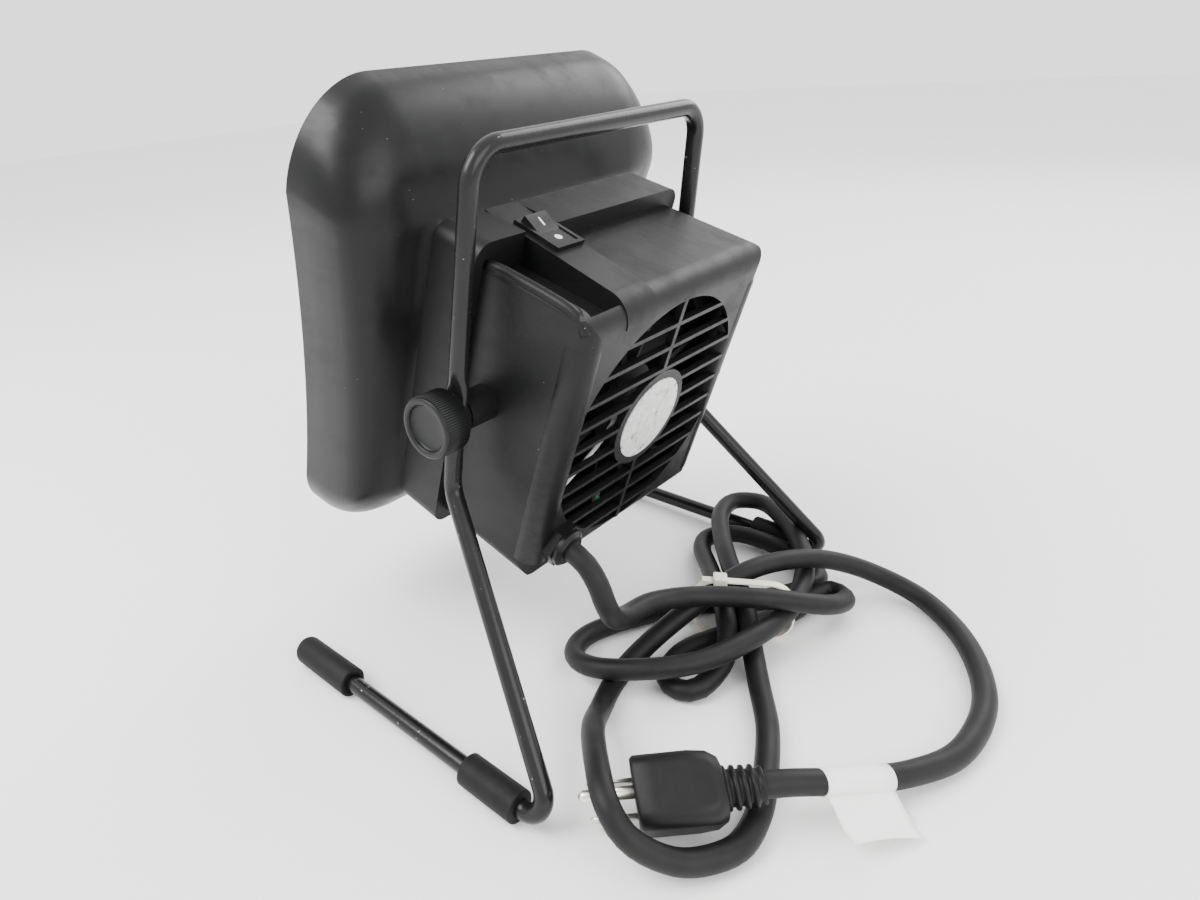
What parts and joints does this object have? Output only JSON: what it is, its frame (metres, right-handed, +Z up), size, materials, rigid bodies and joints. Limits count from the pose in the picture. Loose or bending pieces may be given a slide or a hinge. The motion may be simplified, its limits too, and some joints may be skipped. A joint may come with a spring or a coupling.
{
  "type": "bench-top solder fume extractor",
  "caption": "Tilting square fan head with a wide flared hood and a round slatted rear grille, held between the uprights of a bent rod stand with a carrying handle and a bundled power cord.",
  "frame": {"origin": "on the bench at the middle of the footprint, midway between the left and right feet and between the hood's lower rim and the stand's rear bends", "axes": "+Z up, -Y the way the hood's mouth faces, +X the switch side"},
  "size_m": [0.2672, 0.3004, 0.2822],
  "materials": {
    "rod": "gloss",
    "rubber_feet": "satin",
    "hood_plastic": "fine texture",
    "body_plastic": "fine texture",
    "switch_plastic": "semi gloss",
    "knob_plastic": "knurled rim",
    "zinc_steel": "zinc plated",
    "brass": "satin",
    "fan_plastic": "satin",
    "copper": "enamelled winding",
    "filter_frame_plastic": "satin",
    "filter_foam": "open foam",
    "label": "worn foil",
    "cord_rubber": "satin",
    "plug_rubber": "satin",
    "nickel": "nickel plated",
    "tie_plastic": "satin nylon",
    "tag_paper": "matt",
    "lead_black": "satin",
    "lead_white": "satin",
    "lead_green": "satin"
  },
  "bodies": {
    "stand": {"stand_rod": "rod", "foot_sleeve_left": "rubber_feet", "foot_sleeve_right": "rubber_feet", "foot_cap_left": "rubber_feet", "foot_cap_right": "rubber_feet", "power_cord": "cord_rubber", "plug_body": "plug_rubber", "plug_relief": "plug_rubber", "plug_blades": "nickel", "ground_pin": "nickel", "cord_tie": "tie_plastic", "cord_tag": "tag_paper"},
    "head": {"hood": "hood_plastic", "collar": "body_plastic", "rear_housing": "body_plastic", "switch_duct": "body_plastic", "rocker_bezel": "switch_plastic", "rocker_terminals": "brass", "pivot_boss_left": "body_plastic", "pivot_boss_right": "body_plastic", "pivot_inserts": "brass", "pivot_washers": "zinc_steel", "fan_frame": "fan_plastic", "fan_stator": "copper", "fan_bearings": "zinc_steel", "fan_screws": "zinc_steel", "hub_label": "label", "cord_gland": "switch_plastic", "gland_nut": "switch_plastic", "cord_exit": "cord_rubber", "lead_line": "lead_black", "lead_neutral": "lead_white", "lead_ground": "lead_green", "ground_screw": "zinc_steel"},
    "rocker": {"rocker_button": "switch_plastic"},
    "fan": {"fan_impeller": "fan_plastic", "fan_shaft": "zinc_steel"},
    "filter": {"filter_frame": "filter_frame_plastic", "filter_pad": "filter_foam"},
    "knob_left": {"knob_left": "knob_plastic", "knob_stud_left": "zinc_steel"},
    "knob_right": {"knob_right": "knob_plastic", "knob_stud_right": "zinc_steel"}
  },
  "joints": [
    {"name": "head_tilt", "type": "hinge", "parent": "stand", "child": "head", "pos_m": [0, 0.0215, 0.147], "axis": [-1, 0, 0], "range_deg": [-30, 15]},
    {"name": "rocker_throw", "type": "hinge", "parent": "head", "child": "rocker", "pos_m": [0.031, 0.03068, 0.21295], "axis": [1, 0, 0], "range_deg": [0, 20]},
    {"name": "fan_spin", "type": "hinge", "parent": "head", "child": "fan", "pos_m": [0, 0.03321, 0.13401], "axis": [0, 0.9563, -0.2924], "continuous": true},
    {"name": "filter_slide", "type": "slide", "parent": "head", "child": "filter", "axis": [0, -0.9563, 0.2924], "range_m": [0, 0.085]},
    {"name": "knob_left_turn", "type": "hinge", "parent": "head", "child": "knob_left", "pos_m": [-0.094, 0.0215, 0.147], "axis": [-1, 0, 0], "continuous": true},
    {"name": "knob_right_turn", "type": "hinge", "parent": "head", "child": "knob_right", "pos_m": [0.094, 0.0215, 0.147], "axis": [1, 0, 0], "continuous": true}
  ]
}
